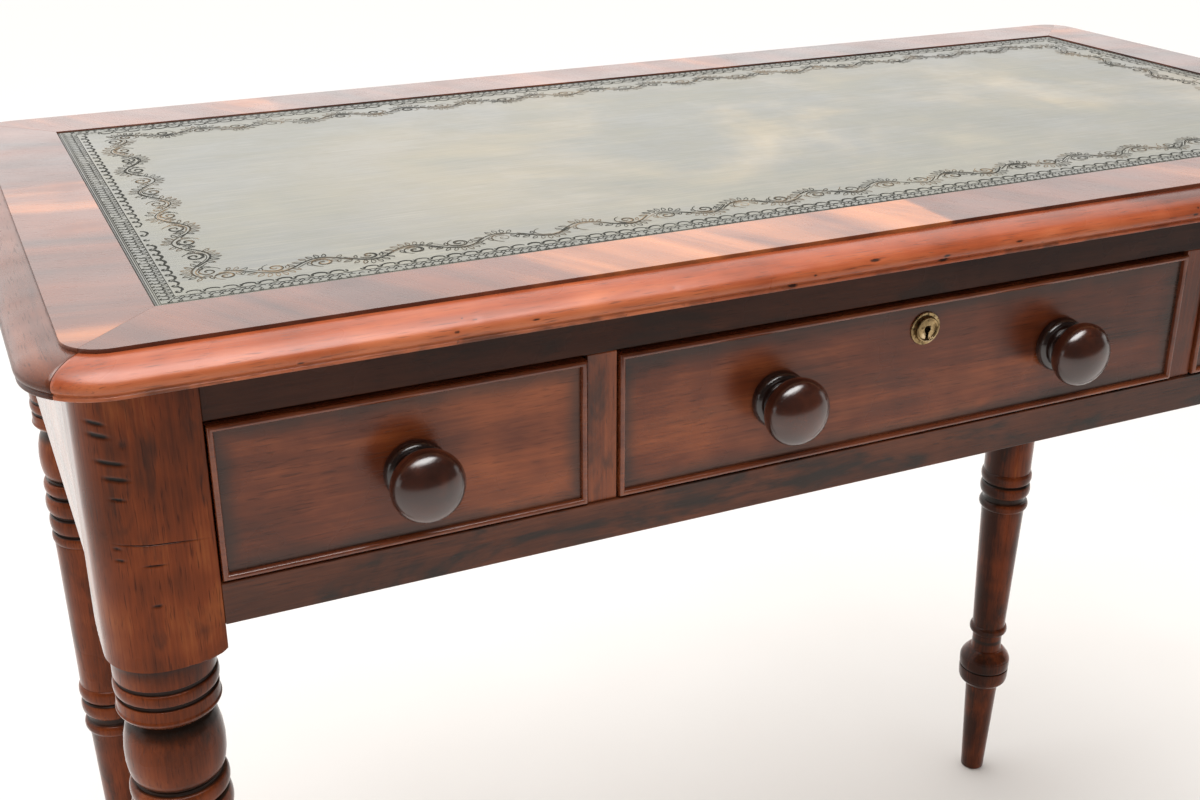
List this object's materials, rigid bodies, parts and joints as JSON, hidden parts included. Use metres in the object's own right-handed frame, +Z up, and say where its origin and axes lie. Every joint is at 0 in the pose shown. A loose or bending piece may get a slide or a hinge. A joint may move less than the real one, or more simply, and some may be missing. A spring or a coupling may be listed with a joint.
{
  "type": "writing desk",
  "caption": "Writing desk with a leather-lined, crossbanded top, moulded edge, three frieze drawers with turned knobs, and turned tapering legs.",
  "frame": {"origin": "on the floor, under the middle of the top", "axes": "+X along the desk's length, -Y out of the drawer fronts, +Z up"},
  "size_m": [0.93, 0.484, 0.76],
  "materials": {
    "case_wood": "waxed satin",
    "front_wood": "polished, dark at the edges",
    "edge_wood": "polished and worn",
    "band_veneer": "polished veneer",
    "leather": "worn, tooled",
    "knob_wood": "high polish",
    "inner_wood": "plain, unpolished",
    "brass": "aged",
    "screw_iron": "dull"
  },
  "bodies": {
    "frame": {"top_board": "inner_wood", "crossband_front": "band_veneer", "crossband_back": "band_veneer", "crossband_left": "band_veneer", "crossband_right": "band_veneer", "leather": "leather", "edge_front": "edge_wood", "edge_back": "edge_wood", "edge_left": "edge_wood", "edge_right": "edge_wood", "leg_front_left": "case_wood", "leg_front_right": "case_wood", "leg_back_left": "case_wood", "leg_back_right": "case_wood", "side_rail_left": "case_wood", "side_rail_right": "case_wood", "back_rail": "case_wood", "top_rail": "case_wood", "bottom_rail": "case_wood", "stile_left": "case_wood", "stile_right": "case_wood", "runner_left": "inner_wood", "runner_middle_left": "inner_wood", "runner_middle_right": "inner_wood", "runner_right": "inner_wood", "kicker_left": "inner_wood", "kicker_middle_left": "inner_wood", "kicker_middle_right": "inner_wood", "kicker_right": "inner_wood", "drawer_stops": "inner_wood", "glue_blocks": "inner_wood", "top_screws": "screw_iron"},
    "left_drawer": {"front_left": "front_wood", "side_a_left": "inner_wood", "side_b_left": "inner_wood", "back_left": "inner_wood", "bottom_left": "inner_wood", "bead_left": "front_wood", "knob_left": "knob_wood"},
    "middle_drawer": {"front_middle": "front_wood", "side_a_middle": "inner_wood", "side_b_middle": "inner_wood", "back_middle": "inner_wood", "bottom_middle": "inner_wood", "bead_middle": "front_wood", "knob_middle_left": "knob_wood", "knob_middle_right": "knob_wood", "escutcheon": "brass", "lock_case": "brass", "lock_screws": "screw_iron"},
    "right_drawer": {"front_right": "front_wood", "side_a_right": "inner_wood", "side_b_right": "inner_wood", "back_right": "inner_wood", "bottom_right": "inner_wood", "bead_right": "front_wood", "knob_right": "knob_wood"},
    "bolt": {"lock_bolt": "brass"}
  },
  "joints": [
    {"name": "left_drawer_slide", "type": "slide", "parent": "frame", "child": "left_drawer", "axis": [0, -1, 0], "range_m": [0, 0.26]},
    {"name": "middle_drawer_slide", "type": "slide", "parent": "frame", "child": "middle_drawer", "axis": [0, -1, 0], "range_m": [0, 0.26]},
    {"name": "right_drawer_slide", "type": "slide", "parent": "frame", "child": "right_drawer", "axis": [0, -1, 0], "range_m": [0, 0.26]},
    {"name": "lock_bolt_slide", "type": "slide", "parent": "middle_drawer", "child": "bolt", "axis": [0, 0, 1], "range_m": [0, 0.006]}
  ]
}
